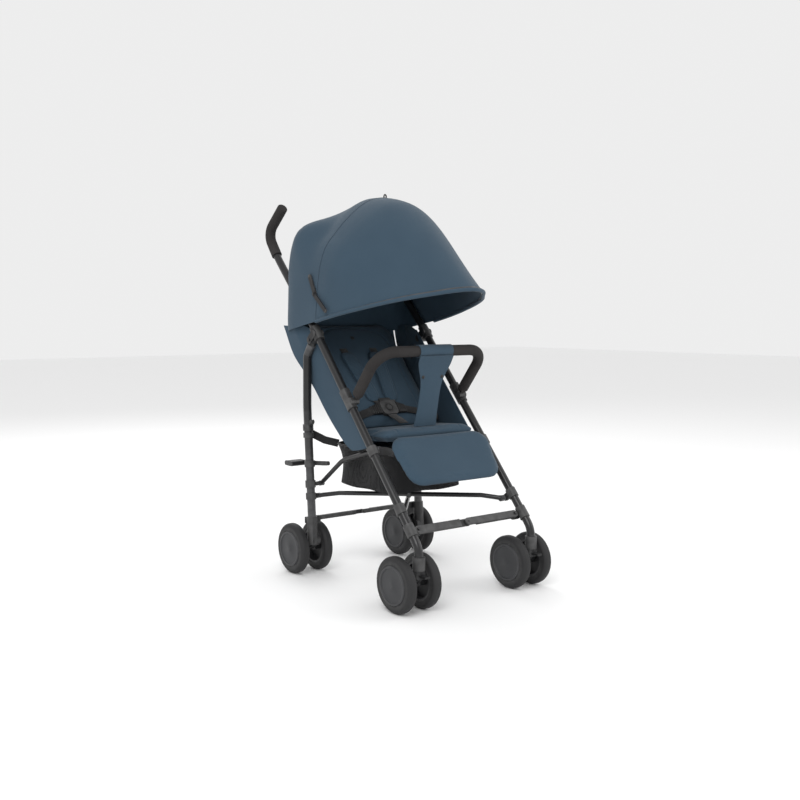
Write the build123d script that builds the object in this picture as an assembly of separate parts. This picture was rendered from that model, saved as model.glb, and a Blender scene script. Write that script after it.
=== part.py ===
"""Umbrella-fold baby stroller: two tubular side frames that close towards each other, twin wheels,
a hooded sling seat with a five-point harness, a bumper bar, a calf rest and a basket.
Millimetres, +Z up, the child faces -Y, and x = 0 is the middle plane."""
from build123d import *
from math import atan2, cos, degrees, hypot, radians, sin
import os

os.makedirs("parts", exist_ok=True)

# ---- Driving dimensions -------------------------------------------------------------------
# Tubes and running gaps
TUBE_R = 11.0            # main tube
LEG_R = 12.0             # rear leg tube
WALL = 1.5               # tube wall
FIT = 0.05               # radial clearance of a pin in its eye or a tube in its sleeve
GAP = 0.5                # running gap between faces that slide past each other
PIN_R = 4.0
PIN_SHOULDER_R = 6.0     # shoulder that spaces a moving end off its collar

# Side frame, seen from the side: (y, z) with y = 0 midway between the axles
TUBE_X = 195.0           # side frame plane
STEM = (-289.0, 128.0)   # foot of the main tube, over the caster
TUBE_ANGLE = 41.0        # main tube, from the vertical
TUBE_TOP = (184.5, 711.0)
GRIP_FOOT = (375.0, 908.0)
HANDLE_BEND = (434.0, 985.0)
HANDLE_TIP = (352.0, 1052.0)
HANDLE_BEND_R = 36.0
GRIP_R = 15.0

# Rear leg
LEG_TOP_BACK = 26.5      # leg pivot behind the main tube's axis
LEG_KNEE = (221.0, 628.0)
LEG_MIDDLE = (223.0, 484.0)
LEG_FOOT = (198.5, 96.0)

# Wheels
WHEEL_R = 72.5
WHEEL_W = 27.8
WHEEL_OFFSET = 39.0      # each wheel from the middle of its pair
AXLE_R = 4.0
RIM_R = 52.0             # tyre seat
FRONT_AXLE_Y = -248.7
REAR_AXLE_Y = 248.7
REAR_TRACK_IN = 5.0      # the rear pair stands this far inside the leg

# Folding bars across the frame
FOLD_H = 168.0           # fold pivots from the middle plane
FOOTREST_AT = (-250.0, 203.0)
FOOTREST_W = 20.0
FOOTREST_T = 10.0
LAP = 27.0               # length of the half-thickness lap beside the middle pin
BRAKE_BAR_AT = (226.0, 157.0)
BRAKE_BAR_R = 6.0
BRAKE_T = 9.0
BAR_R = 6.5              # cross bars and side links
EYE_END_R = 7.5          # eye at the end of a cross bar or side link
CROSS_X = 172.0
CROSS_FRONT_T = 66.0     # cross bar pivot up the main tube from the footrest pivot
CROSS_BACK = 21.0        # and behind the tube's axis
CROSS_REAR = (204.0, 227.0)
CROSS_STEP = 18.0        # distance between the two cross bars' axes
LINK_X = 161.0
LINK_REAR = (204.0, 262.0)
LINK_KNEE = (96.0, 340.0)
LINK_FRONT = (-72.0, 388.0)
PEDAL_Z = 320.0
PEDAL_X = 174.0
PEDAL_HALF = 5.0
PEDAL_REACH = 92.0

# Seat and soft goods
SEAT_HINGE = (62.0, 425.0)
SEAT_FRONT = (-108.0, 436.0)
SEAT_T = 26.0
SEAT_HALF_W = 165.0
BACK_LEN = 395.0
BACK_T = 22.0
CALF_TOP = (-126.0, 431.0)
CALF_FOOT = (-226.0, 308.0)
CALF_T = 18.0
CALF_HALF_W = 172.0
PANEL_T = 3.0
PANEL_X = 176.5          # middle of each side panel
BUMPER_R = 15.0
BUMPER_KNUCKLE_R = 8.0
BUMPER_FOOT = (-12.0, 529.0)
BUMPER_BEND = (-108.0, 648.0)
BUMPER_X = 186.0
BUMPER_BEND_R = 58.0

# Hood
HOOD_HINGE = (148.0, 727.0)
HOOD_X = 214.0
HOOD_TOP = (107.0, 1078.0)
HOOD_FRONT = (-282.0, 812.0)
HOOD_BACK_Y = 322.0
HOOD_WALL = 3.0
BOW_R = 3.5

# Basket
BASKET_HALF_W = 138.0
BASKET_WALL = 3.0


# ---- Helpers ------------------------------------------------------------------------------
def at(x, yz):
    """A point from an x and a (y, z) pair."""
    return Vector(x, yz[0], yz[1])


def add(yz, step, direction):
    """The (y, z) pair one step along a direction."""
    return (yz[0] + step * direction[0], yz[1] + step * direction[1])


def unit(a, b):
    """Unit (y, z) direction from a to b."""
    length = hypot(b[0] - a[0], b[1] - a[1])
    return ((b[0] - a[0]) / length, (b[1] - a[1]) / length)


def rod(a, b, radius, inner=0.0):
    """Round bar or tube from a to b."""
    a, b = Vector(a), Vector(b)
    section = Circle(radius) - Circle(inner) if inner else Circle(radius)
    return extrude(Plane(origin=a, z_dir=b - a) * section, amount=(b - a).length)


def bent(points, bends, radius, inner=0.0):
    """Bent bar or tube along straight runs joined by arcs."""
    path = FilletPolyline(*[Vector(p) for p in points], radius=bends)
    section = Circle(radius) - Circle(inner) if inner else Circle(radius)
    return sweep(Plane(origin=path @ 0, z_dir=path % 0) * section, path=path)


def side_plate(outline, x_from, x_to):
    """Flat plate of a (y, z) outline, from one x to another."""
    low, high = min(x_from, x_to), max(x_from, x_to)
    face = make_face(Polyline(*outline, close=True))
    return extrude(Plane.YZ.offset(low) * face, amount=high - low)


def link_plate(a, b, half_w, x_from, x_to):
    """Round-ended plate between two (y, z) points."""
    low, high = min(x_from, x_to), max(x_from, x_to)
    middle = ((a[0] + b[0]) / 2, (a[1] + b[1]) / 2)
    span = hypot(b[0] - a[0], b[1] - a[1])
    tilt = degrees(atan2(b[1] - a[1], b[0] - a[0]))
    slot = Pos(*middle) * Rot(0, 0, tilt) * SlotCenterToCenter(span, 2 * half_w)
    return extrude(Plane.YZ.offset(low) * slot, amount=high - low)


def cross_pin(yz, x_from, x_to, radius):
    """Pin along X through a (y, z) point."""
    return rod(at(min(x_from, x_to), yz), at(max(x_from, x_to), yz), radius)


def other_side(solid):
    """The same piece on the right of the stroller."""
    return mirror(solid, about=Plane.YZ)


# ---- Directions of the main tube -----------------------------------------------------------
UP_TUBE = (sin(radians(TUBE_ANGLE)), cos(radians(TUBE_ANGLE)))
BEHIND = (UP_TUBE[1], -UP_TUBE[0])
AHEAD = (-BEHIND[0], -BEHIND[1])
FOLD_AXIS = Vector(0, *AHEAD)
UP_AXIS = Vector(0, *UP_TUBE)


def on_tube(z):
    """(y, z) of the main tube's axis at a height."""
    return (TUBE_TOP[0] - (TUBE_TOP[1] - z) * UP_TUBE[0] / UP_TUBE[1], z)


STEM_CORNER = (STEM[0], TUBE_TOP[1] - (TUBE_TOP[0] - STEM[0]) * UP_TUBE[1] / UP_TUBE[0])
BRACKET_AT = add(TUBE_TOP, -25.0, UP_TUBE)
LEG_PIVOT = add(BRACKET_AT, LEG_TOP_BACK, BEHIND)
FOOT_UP = unit(LEG_FOOT, LEG_MIDDLE)
CROSS_FRONT = add(add(on_tube(FOOTREST_AT[1]), CROSS_FRONT_T, UP_TUBE), CROSS_BACK, BEHIND)
LEFT = -TUBE_X

# ---- Side frame ------------------------------------------------------------------------------
nodes = {}
TUBE_POINTS = [STEM, STEM_CORNER, TUBE_TOP, GRIP_FOOT, HANDLE_BEND, HANDLE_TIP]
TUBE_BENDS = [60.0, 200.0, 200.0, HANDLE_BEND_R]
tube_line = [at(LEFT, p) for p in TUBE_POINTS]
nodes["main_tube"] = bent(tube_line, TUBE_BENDS, TUBE_R, TUBE_R - WALL)

# Foam grip over the J-shaped end, closed by a domed cap past the tube's end
GRIP_END_T = 6.0
tip_way = unit(HANDLE_BEND, HANDLE_TIP)
grip_start = add(GRIP_FOOT, 14.0, unit(GRIP_FOOT, HANDLE_BEND))
grip_line = [at(LEFT, p) for p in (grip_start, HANDLE_BEND, HANDLE_TIP)]
grip = bent(grip_line, [HANDLE_BEND_R], GRIP_R, TUBE_R + FIT)
cap_start = at(LEFT, HANDLE_TIP)
cap = rod(cap_start, at(LEFT, add(HANDLE_TIP, GRIP_END_T, tip_way)), GRIP_R)
cap = fillet(cap.edges().sort_by(lambda e: (e.center() - cap_start).length)[-1], 4.0)
nodes["handle_grip"] = grip + cap


def tube_sleeve(centre, length, radius, bore, x=LEFT, along=UP_TUBE):
    """Collar around a tube, from its centre half a length each way."""
    a, b = at(x, add(centre, -length / 2, along)), at(x, add(centre, length / 2, along))
    return rod(a, b, radius, bore)


# Top bracket: sleeve on the main tube with two ears for the rear leg's pin
EAR_IN = 11.0            # inner face of each ear from the frame plane
EAR_T = 4.0
EAR_R = 11.0
ears = Part()
for side in (-1, 1):
    faces = (LEFT + side * EAR_IN, LEFT + side * (EAR_IN + EAR_T))
    ears += link_plate(BRACKET_AT, LEG_PIVOT, EAR_R, *faces)
sleeve = tube_sleeve(BRACKET_AT, 44.0, TUBE_R + 3.5, TUBE_R + FIT)
bracket = ears + sleeve
bracket -= rod(*[at(LEFT, add(BRACKET_AT, s, UP_TUBE)) for s in (-40, 24)], TUBE_R + FIT)
pin_faces = (LEFT - EAR_IN - EAR_T - 2, LEFT + EAR_IN + EAR_T)
nodes["top_bracket"] = bracket + cross_pin(LEG_PIVOT, *pin_faces, PIN_R)

# Bumper socket: clamp on the main tube with a square post for the bumper's end
SOCKET_AT = on_tube(516.0)
SOCKET_LEN = 62.0
socket = tube_sleeve(SOCKET_AT, SOCKET_LEN, TUBE_R + 3.5, TUBE_R + FIT)
bumper_way = unit(BUMPER_FOOT, BUMPER_BEND)
cheek_foot = add(add(SOCKET_AT, 12.0, AHEAD), -14.0, UP_TUBE)
cheek_end = add(BUMPER_FOOT, -BUMPER_KNUCKLE_R - GAP - 9.0, bumper_way)
cheek = link_plate(cheek_foot, cheek_end, 9.0, LEFT - 8.0, LEFT + 17.0)
cheek -= rod(*[at(LEFT, add(SOCKET_AT, s, UP_TUBE)) for s in (-60, 60)], TUBE_R + FIT)
nodes["bumper_socket"] = socket + cheek

# Caster housing on the main tube's foot, with the bore for the fork's stem
HOUSING_R = 16.0
HOUSING_LOW = 112.0
STEM_R = 5.0
housing = rod((LEFT, STEM[0], HOUSING_LOW), (LEFT, STEM[0], 146.0), HOUSING_R)
housing -= rod((LEFT, STEM[0], STEM[1] - 6.0), (LEFT, STEM[0], 147.0), TUBE_R + FIT)
housing -= rod((LEFT, STEM[0], HOUSING_LOW - 1), (LEFT, STEM[0], STEM[1]), STEM_R + FIT)

# Footrest bracket: a gusset under the main tube that carries the footrest pivot and, above it,
# the cross bar's front pivot
BAR_LOW = -FOOTREST_T / 2 - GAP
foot_plane = Plane(origin=at(0, FOOTREST_AT), x_dir=(1, 0, 0), z_dir=FOLD_AXIS)
foot_tube = on_tube(FOOTREST_AT[1] + 2.0)
gusset_plate = Pos(-FOLD_H - 6.0, 0) * RectangleRounded(36.0, 24.0, 9.0)
gusset = extrude(foot_plane.offset(BAR_LOW - 4.0) * gusset_plate, amount=4.0)
gusset += tube_sleeve(foot_tube, 34.0, TUBE_R + 3.0, TUBE_R + FIT)
gusset -= rod(*[at(LEFT, add(foot_tube, s, UP_TUBE)) for s in (-30, 40)], TUBE_R + FIT)
gusset += extrude(foot_plane.offset(BAR_LOW - 2.0) * Pos(-FOLD_H, 0) * Circle(PIN_R), amount=17.0)
cross_lug = tube_sleeve(add(CROSS_FRONT, CROSS_BACK, AHEAD), 26.0, TUBE_R + 3.0, TUBE_R + FIT)
lug_plate = link_plate(add(CROSS_FRONT, CROSS_BACK, AHEAD), CROSS_FRONT, 9.0, LEFT + 4.0, LEFT + 11.0)
lug_plate -= rod(*[at(LEFT, add(add(CROSS_FRONT, CROSS_BACK, AHEAD), s, UP_TUBE)) for s in (-30, 30)],
                 TUBE_R + FIT)
boss_tube = on_tube(LINK_FRONT[1])
boss = tube_sleeve(boss_tube, 26.0, TUBE_R + 3.0, TUBE_R + FIT)
boss += link_plate(boss_tube, LINK_FRONT, 7.0, LEFT + 4.0, LEFT + 14.0)
boss += cross_pin(LINK_FRONT, LEFT + 5.0, -LINK_X - BAR_R - GAP, 7.0)
boss -= rod(*[at(LEFT, add(boss_tube, s, UP_TUBE)) for s in (-40, 40)], TUBE_R + FIT)
nodes["front_brackets"] = housing + gusset + cross_lug + lug_plate + boss

# ---- Rear leg ---------------------------------------------------------------------------------
KNUCKLE_LEN = 52.0
knee_way = unit(LEG_PIVOT, LEG_KNEE)
leg_start = add(LEG_PIVOT, 16.0, knee_way)
leg_line = [at(LEFT, p) for p in (leg_start, LEG_KNEE, LEG_MIDDLE, LEG_FOOT)]
nodes["rear_leg"] = bent(leg_line, [26.0, 400.0], LEG_R, LEG_R - WALL)

# Knuckle in the leg's open top end, turning between the bracket's ears
EYE_R = 11.0
eye = cross_pin(LEG_PIVOT, LEFT - EAR_IN + GAP, LEFT + EAR_IN - GAP, EYE_R)
tang_end = add(LEG_PIVOT, 34.0, knee_way)
tang = rod(at(LEFT, add(LEG_PIVOT, 5.0, knee_way)), at(LEFT, tang_end), LEG_R - WALL - FIT)
tang = tang & link_plate(LEG_PIVOT, tang_end, 30.0, LEFT - EAR_IN + GAP, LEFT + EAR_IN - GAP)
knuckle = eye + tang - cross_pin(LEG_PIVOT, LEFT - 20, LEFT + 20, PIN_R + FIT)

# Collars on the leg for the seat's hanger, the side link and the cross bar's rear end
def leg_point(z):
    """(y, z) of the rear leg's axis at a height below its middle."""
    share = (z - LEG_FOOT[1]) / (LEG_MIDDLE[1] - LEG_FOOT[1])
    return (LEG_FOOT[0] + share * (LEG_MIDDLE[0] - LEG_FOOT[0]), z)


COLLAR_R = LEG_R + 3.0
fittings = Part()
for z, length in ((424.0, 18.0), (402.0, 14.0), (PEDAL_Z, 18.0), (LINK_REAR[1], 20.0), (CROSS_REAR[1], 18.0)):
    fittings += tube_sleeve(leg_point(z), length, COLLAR_R, LEG_R + FIT, LEFT, FOOT_UP)
hanger_at = leg_point(424.0)
lug = link_plate(add(hanger_at, 8.0, AHEAD), add(hanger_at, 27.0, AHEAD), 6.0, LEFT - 5.0, LEFT + 5.0)
lug -= rod(*[at(LEFT, add(hanger_at, s, FOOT_UP)) for s in (-30, 30)], LEG_R + FIT)
pedal_at = leg_point(PEDAL_Z)
pedal_pin = cross_pin(pedal_at, LEFT + LEG_R + 1.5, PEDAL_HALF - PEDAL_X, PIN_R)
link_pin = cross_pin(LINK_REAR, LEFT + LEG_R + 1.5, BAR_R - LINK_X, PIN_R)
link_pin += cross_pin(LINK_REAR, LEFT + LEG_R + 1.5, -LINK_X - BAR_R - GAP, PIN_SHOULDER_R)
link_pin -= rod(*[at(LEFT, add(leg_point(LINK_REAR[1]), s, FOOT_UP)) for s in (-30, 30)], LEG_R + FIT)
nodes["leg_fittings"] = knuckle + fittings + lug + link_pin + pedal_pin

# Wheel carrier: the moulding that closes the leg's foot and holds the rear axle behind it
CARRIER_HALF = 12.0
carrier_x = LEFT + REAR_TRACK_IN
rear_axle = (REAR_AXLE_Y, WHEEL_R)
carrier_faces = (carrier_x - CARRIER_HALF, carrier_x + CARRIER_HALF)
carrier = link_plate(add(LEG_FOOT, 4.0, FOOT_UP), rear_axle, 15.0, *carrier_faces)
carrier += tube_sleeve(add(LEG_FOOT, 22.0, FOOT_UP), 60.0, COLLAR_R, LEG_R + FIT, LEFT, FOOT_UP)
lug_face = BRAKE_BAR_AT[0] - BRAKE_T / 2 - GAP
carrier += Pos(LEFT + 11.0, lug_face - 5.0, BRAKE_BAR_AT[1]) * Box(48.0, 10.0, 18.0)
carrier += tube_sleeve(leg_point(BRAKE_BAR_AT[1]), 22.0, COLLAR_R, LEG_R + FIT, LEFT, FOOT_UP)
brake_pin_from = Vector(-FOLD_H, lug_face - 3.0, BRAKE_BAR_AT[1])
carrier += rod(brake_pin_from, brake_pin_from + Vector(0, BRAKE_T + 6.0, 0), PIN_R)
carrier -= rod(at(LEFT, LEG_FOOT), at(LEFT, add(LEG_FOOT, 100.0, FOOT_UP)), LEG_R + FIT)
axle_half = WHEEL_OFFSET + 6.0
carrier += cross_pin(rear_axle, carrier_x - axle_half, carrier_x + axle_half, AXLE_R)
nodes["rear_wheel_carrier"] = carrier

# Brake bar: two halves, each turning on a lug behind its leg, meeting at the middle
brake_plane = Plane(origin=at(0, BRAKE_BAR_AT), x_dir=(1, 0, 0), z_dir=(0, -1, 0))


def folding_half(plane, width, thick, upper):
    """Left half of a bar that folds about its middle pin: full section outside the lap, and half
    the thickness inside it. The pivot is at the outer end."""
    half = width / 2
    body = Pos(-FOLD_H / 2, 0) * SlotCenterToCenter(FOLD_H, width)
    solid = extrude(plane.offset(-thick / 2) * body, amount=thick)
    cut = Pos(-LAP / 2 + half, 0) * Rectangle(LAP + 2 * half, width + 2)
    low, high = (-thick / 2 - 1, GAP / 4) if upper else (-GAP / 4, thick / 2 + 1)
    solid -= extrude(plane.offset(low) * cut, amount=high - low)
    hole = Pos(-FOLD_H, 0) * Circle(PIN_R + FIT)
    return solid - extrude(plane.offset(-thick) * hole, amount=2 * thick)


brake_left = folding_half(brake_plane, 2 * BRAKE_BAR_R, BRAKE_T, False)
brake_pin = extrude(brake_plane.offset(-BRAKE_T / 2) * Circle(2.5), amount=BRAKE_T - 1)
brake_right = other_side(folding_half(brake_plane, 2 * BRAKE_BAR_R, BRAKE_T, True))
brake_right -= extrude(brake_plane.offset(-BRAKE_T) * Circle(2.5 + 2 * FIT), amount=2 * BRAKE_T)
nodes["brake_bar_left"] = brake_left + brake_pin
nodes["brake_bar_right"] = brake_right

# ---- Footrest -----------------------------------------------------------------------------------
foot_left = folding_half(foot_plane, FOOTREST_W, FOOTREST_T, False)
foot_pin = extrude(foot_plane.offset(-FOOTREST_T / 2) * Circle(3.0), amount=FOOTREST_T - 1)
foot_right = other_side(folding_half(foot_plane, FOOTREST_W, FOOTREST_T, True))
foot_right -= extrude(foot_plane.offset(-FOOTREST_T) * Circle(3.0 + FIT), amount=2 * FOOTREST_T)
nodes["footrest_left"] = foot_left + foot_pin
nodes["footrest_right"] = foot_right

# ---- Front fork and wheels -----------------------------------------------------------------------
front_axle = (FRONT_AXLE_Y, WHEEL_R)
FORK_HALF = 10.0
FORK_TOP = HOUSING_LOW - GAP
crown_at = (STEM[0], FORK_TOP - 9.0)
fork = rod((LEFT, STEM[0], FORK_TOP - 20.0), (LEFT, STEM[0], FORK_TOP), HOUSING_R - 1.0)
fork += link_plate(crown_at, front_axle, 13.0, LEFT - FORK_HALF, LEFT + FORK_HALF)
fork -= Pos(LEFT, STEM[0], FORK_TOP + 20.0) * Box(80.0, 80.0, 40.0)
fork += rod((LEFT, STEM[0], FORK_TOP - 5.0), (LEFT, STEM[0], STEM[1] + 8.0), STEM_R)
fork += cross_pin(front_axle, LEFT - axle_half, LEFT + axle_half, AXLE_R)
TAB = (16.0, 24.0, 5.0)
fork += Pos(LEFT, STEM[0] - 22.0, FORK_TOP - 12.0) * Box(*TAB)
nodes["front_fork"] = fork


def wheel(x, axle):
    """Solid tyre and the rim it is pressed on, as two pieces."""
    half = WHEEL_W / 2
    plane = Plane.YZ.offset(x - half)
    place = plane * Pos(*axle)
    disc = extrude(place * Circle(WHEEL_R), amount=WHEEL_W)
    disc = fillet(disc.edges(), 11.0)
    tyre = disc - extrude(place * Circle(RIM_R), amount=WHEEL_W)
    rim = extrude(place * Pos(0, 0, 1.5) * Circle(RIM_R - FIT), amount=WHEEL_W - 3.0)
    open_side = 1 if x < LEFT else -1
    dish = extrude(Plane.YZ.offset(x + open_side * half) * Pos(*axle) * (Circle(RIM_R - 6.0) - Circle(14.0)),
                   amount=-open_side * (WHEEL_W - 7.0))
    rim -= dish
    rim -= cross_pin(axle, x - half - 1, x + half + 1, AXLE_R + FIT)
    return tyre, rim


for end, middle, axle in (("front", LEFT, front_axle), ("rear", carrier_x, rear_axle)):
    for place, side in (("outer", -1), ("inner", 1)):
        tyre, rim = wheel(middle + side * WHEEL_OFFSET, axle)
        nodes[f"{end}_{place}_tyre"] = tyre
        nodes[f"{end}_{place}_rim"] = rim

# ---- Side links and cross bars ---------------------------------------------------------------------
link_line = [(-LINK_X, *LINK_REAR), (-LINK_X, *LINK_KNEE), (-LINK_X, *LINK_FRONT)]
link = bent(link_line, [90.0], BAR_R)
for end, boss_r in ((LINK_REAR, EYE_END_R), (LINK_FRONT, EYE_END_R + 1.5)):
    link += cross_pin(end, -LINK_X - BAR_R, -LINK_X + BAR_R, boss_r)
link -= cross_pin(LINK_REAR, -LINK_X - 20, -LINK_X + 20, PIN_R + FIT)
nodes["side_link"] = link

# The cross bars pass each other on either side of the plane through their ends
cross_middle_way = Vector(0, -sin(radians(24.5)), cos(radians(24.5)))
cross_rear_in = Vector(-CROSS_X, *CROSS_REAR)


def cross_bar(level):
    """Bar from the right front pivot to the left rear collar, stepped to one level at the middle."""
    front, rear = Vector(CROSS_X, *CROSS_FRONT), cross_rear_in
    way = (rear - front).normalized()
    lift = cross_middle_way * level
    bar = bent([front, front + way * 60 + lift, rear - way * 60 + lift, rear], [40.0, 40.0], BAR_R)
    bar += rod(front - Vector(BAR_R, 0, 0), front + Vector(BAR_R, 0, 0), EYE_END_R + 1.0)
    return bar + rod(rear - Vector(BAR_R, 0, 0), rear + Vector(BAR_R, 0, 0), EYE_END_R)


cross_upper = cross_bar(CROSS_STEP / 2)
hub_at = (Vector(CROSS_X, *CROSS_FRONT) + cross_rear_in) / 2
hub_at = Vector(0, hub_at.Y, hub_at.Z)
hub_low = hub_at + cross_middle_way * 1.6
hub_top = hub_at + cross_middle_way * (CROSS_STEP / 2 + BAR_R + 1)
nodes["cross_bar_right"] = cross_upper + rod(hub_low, hub_top, 7.5)
nodes["cross_bar_left"] = other_side(cross_bar(-CROSS_STEP / 2))

# Fold pedal behind the left leg
PEDAL_TOE = 60.0
pedal_faces = (-PEDAL_X - PEDAL_HALF, -PEDAL_X + PEDAL_HALF)
pedal_heel = (pedal_at[0] + PEDAL_REACH, PEDAL_Z - 6.0)
pedal = link_plate(pedal_at, pedal_heel, 6.0, *pedal_faces)
pedal += link_plate(pedal_at, (pedal_at[0] - PEDAL_TOE, PEDAL_Z + 6.0), 6.0, *pedal_faces)
pedal += link_plate(pedal_heel, add(pedal_heel, -30.0, (1.0, 0.0)), 7.0, -PEDAL_X - 45.0, pedal_faces[1])
nodes["fold_pedal"] = pedal - cross_pin(pedal_at, -PEDAL_X - 20.0, -PEDAL_X + 20.0, PIN_R + FIT)

# ---- Bumper bar: two padded halves that meet under the cover ------------------------------------------
bumper_line = [(-BUMPER_X, *add(BUMPER_FOOT, 6.0, bumper_way)), (-BUMPER_X, *BUMPER_BEND),
               (-GAP / 2, *BUMPER_BEND)]
bumper_axis = (bumper_way[1], -bumper_way[0])
bumper_ends = [at(-BUMPER_X, add(BUMPER_FOOT, s, bumper_axis)) for s in (-9.0, 9.0)]
nodes["bumper_bar"] = bent(bumper_line, [BUMPER_BEND_R], BUMPER_R) + rod(*bumper_ends, BUMPER_KNUCKLE_R)

# ---- Seat ------------------------------------------------------------------------------------------------
seat_outline = [SEAT_FRONT, (SEAT_HINGE[0] - 4, SEAT_HINGE[1]), (SEAT_HINGE[0] - 4, SEAT_HINGE[1] - SEAT_T),
                (SEAT_FRONT[0], SEAT_FRONT[1] - SEAT_T)]
nodes["seat_pad"] = side_plate(seat_outline, -SEAT_HALF_W, SEAT_HALF_W)
back_start = add(SEAT_HINGE, 4.0, UP_TUBE)
back_end = add(SEAT_HINGE, BACK_LEN, UP_TUBE)
back_outline = [back_start, back_end, add(back_end, BACK_T, BEHIND), add(back_start, BACK_T, BEHIND)]
nodes["backrest"] = side_plate(back_outline, -SEAT_HALF_W, SEAT_HALF_W)
calf_way = unit(CALF_TOP, CALF_FOOT)
calf_back = (-calf_way[1], calf_way[0])
calf_back = calf_back if calf_back[0] > 0 else (-calf_back[0], -calf_back[1])
calf_outline = [CALF_TOP, CALF_FOOT, add(CALF_FOOT, CALF_T, calf_back), add(CALF_TOP, CALF_T, calf_back)]
nodes["calf_rest"] = side_plate(calf_outline, -CALF_HALF_W, CALF_HALF_W)
calf_pivot = add(CALF_TOP, CALF_T, calf_back)
panel_low_front = add(on_tube(424.0), 15.0, BEHIND)
panel_top_front = add(on_tube(645.0), 15.0, BEHIND)
back_low = add(SEAT_HINGE, BACK_T, BEHIND)
panel_outline = [panel_low_front, panel_top_front, add(back_end, BACK_T, BEHIND),
                 add(back_low, 8, UP_TUBE), (SEAT_HINGE[0], 412.0)]
nodes["side_panel"] = side_plate(panel_outline, -PANEL_X - PANEL_T / 2, PANEL_T / 2 - PANEL_X)

# Harness: two shoulder pads on the backrest, the buckle at the child's waist and its button
BUCKLE_UP = 62.0         # buckle's middle up the backrest from the seat hinge
PAD_W = 44.0
PAD_T = 9.0
pads = Part()
for side in (-1, 1):
    x = side * 46.0
    low, high = add(SEAT_HINGE, 105.0, UP_TUBE), add(SEAT_HINGE, 270.0, UP_TUBE)
    low, high = add(low, GAP, AHEAD), add(high, GAP, AHEAD)
    pad_outline = [low, high, add(high, PAD_T, AHEAD), add(low, PAD_T, AHEAD)]
    pads += side_plate(pad_outline, x - PAD_W / 2, x + PAD_W / 2)
nodes["shoulder_pads"] = pads
BUCKLE_T = 14.0
BUTTON_R = 9.0
buckle_at = add(add(SEAT_HINGE, BUCKLE_UP, UP_TUBE), GAP, AHEAD)
buckle_plane = Plane(origin=at(0, buckle_at), x_dir=(1, 0, 0), z_dir=FOLD_AXIS)
buckle = extrude(buckle_plane * RectangleRounded(56.0, 46.0, 14.0), amount=BUCKLE_T)
nodes["buckle"] = buckle - extrude(buckle_plane.offset(BUCKLE_T - 4.0) * Circle(BUTTON_R + 0.3), amount=10.0)
nodes["buckle_button"] = extrude(buckle_plane.offset(BUCKLE_T - 2.5) * Circle(BUTTON_R), amount=3.5)

# ---- Hood ------------------------------------------------------------------------------------------------
HOOD_SPRING = 870.0      # height where the sides start to curve in
HOOD_SHOULDER = 0.72
hem_way = unit(HOOD_HINGE, HOOD_FRONT)
FRONT_OUTLINE = [HOOD_HINGE, HOOD_TOP, (42.0, 1066.0), (-36.0, 1029.0), (-158.0, 920.0), HOOD_FRONT]
BACK_OUTLINE = [HOOD_HINGE, HOOD_TOP, (180.0, 1066.0), (262.0, 1018.0), (308.0, 950.0),
                (HOOD_BACK_Y, 890.0), (HOOD_BACK_Y, 742.0)]


def hood_solid(inset, outline):
    """Solid dome: the side outline under the arch that is seen from the front."""
    half = HOOD_X - inset
    top = HOOD_TOP[1] - inset
    shoulder = HOOD_SPRING + (top - HOOD_SPRING) * HOOD_SHOULDER
    low = HOOD_HINGE[1] - 90.0
    crown = Spline((-half, HOOD_SPRING), (-half * HOOD_SHOULDER, shoulder), (0, top),
                   (half * HOOD_SHOULDER, shoulder), (half, HOOD_SPRING), tangents=[(0, 1), (0, -1)])
    foot = Polyline((half, HOOD_SPRING), (half, low), (-half, low), (-half, HOOD_SPRING))
    arch = Plane.XZ * make_face(crown + foot)
    return side_plate(outline, -half, half) & extrude(arch, amount=500.0, both=True)


def shrunk(outline):
    """The outline pulled in towards the hinge by the wall and left open below and at its first side."""
    inner = [add(p, -HOOD_WALL, unit(HOOD_HINGE, p)) for p in outline[1:]]
    forward = 1.0 if outline[-1][0] < HOOD_HINGE[0] else -1.0
    past = add(inner[0], 30.0, (forward, 0.0))
    below = (outline[-1][0], HOOD_HINGE[1] - 60.0)
    return [(HOOD_HINGE[0] + 30.0 * forward, HOOD_HINGE[1] - 60.0), past, *inner, below]


def hood_part(outline):
    """Open shell of one end of the hood."""
    return hood_solid(0.0, outline) - hood_solid(HOOD_WALL, shrunk(outline))


def sector(low, high):
    """Wedge about the hood's hinge between two angles above straight ahead, in degrees."""
    reach = 700.0
    ends = [add(HOOD_HINGE, reach, (-cos(radians(a)), sin(radians(a)))) for a in (low, high)]
    return side_plate([HOOD_HINGE, *ends], -HOOD_X - 5, HOOD_X + 5)


front_shell = hood_part(FRONT_OUTLINE)
rear_shell = hood_part(BACK_OUTLINE)
for side in (-1, 1):
    slot_line = [Vector(side * TUBE_X, *p) for p in (BRACKET_AT, TUBE_TOP, GRIP_FOOT)]
    rear_shell -= bent(slot_line, [200.0], TUBE_R + 3.0)
hem_angle = degrees(atan2(hem_way[1], -hem_way[0]))
split_angle = (hem_angle + 90.0) / 2
front_section = front_shell & sector(-5.0, split_angle)
middle_section = front_shell & sector(split_angle + 0.1, 100.0)
bow_x = HOOD_X - HOOD_WALL - GAP - BOW_R
bow_lift = (hem_way[1] * (BOW_R + GAP), -hem_way[0] * (BOW_R + GAP))
bow_start = add(HOOD_HINGE, 4.0, hem_way)
bow_front = add(HOOD_FRONT, -HOOD_WALL - BOW_R - 6.0, hem_way)
bow_start, bow_front = [(p[0] + bow_lift[0], p[1] + bow_lift[1]) for p in (bow_start, bow_front)]
bow_line = [(-bow_x, *bow_start), (-bow_x, *bow_front), (bow_x, *bow_front), (bow_x, *bow_start)]
bow = bent(bow_line, [60.0, 60.0], BOW_R)
nodes["hood_front"] = Compound([*front_section.solids(), *bow.solids()])
nodes["hood_middle"] = middle_section
nodes["hood_rear"] = rear_shell

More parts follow.
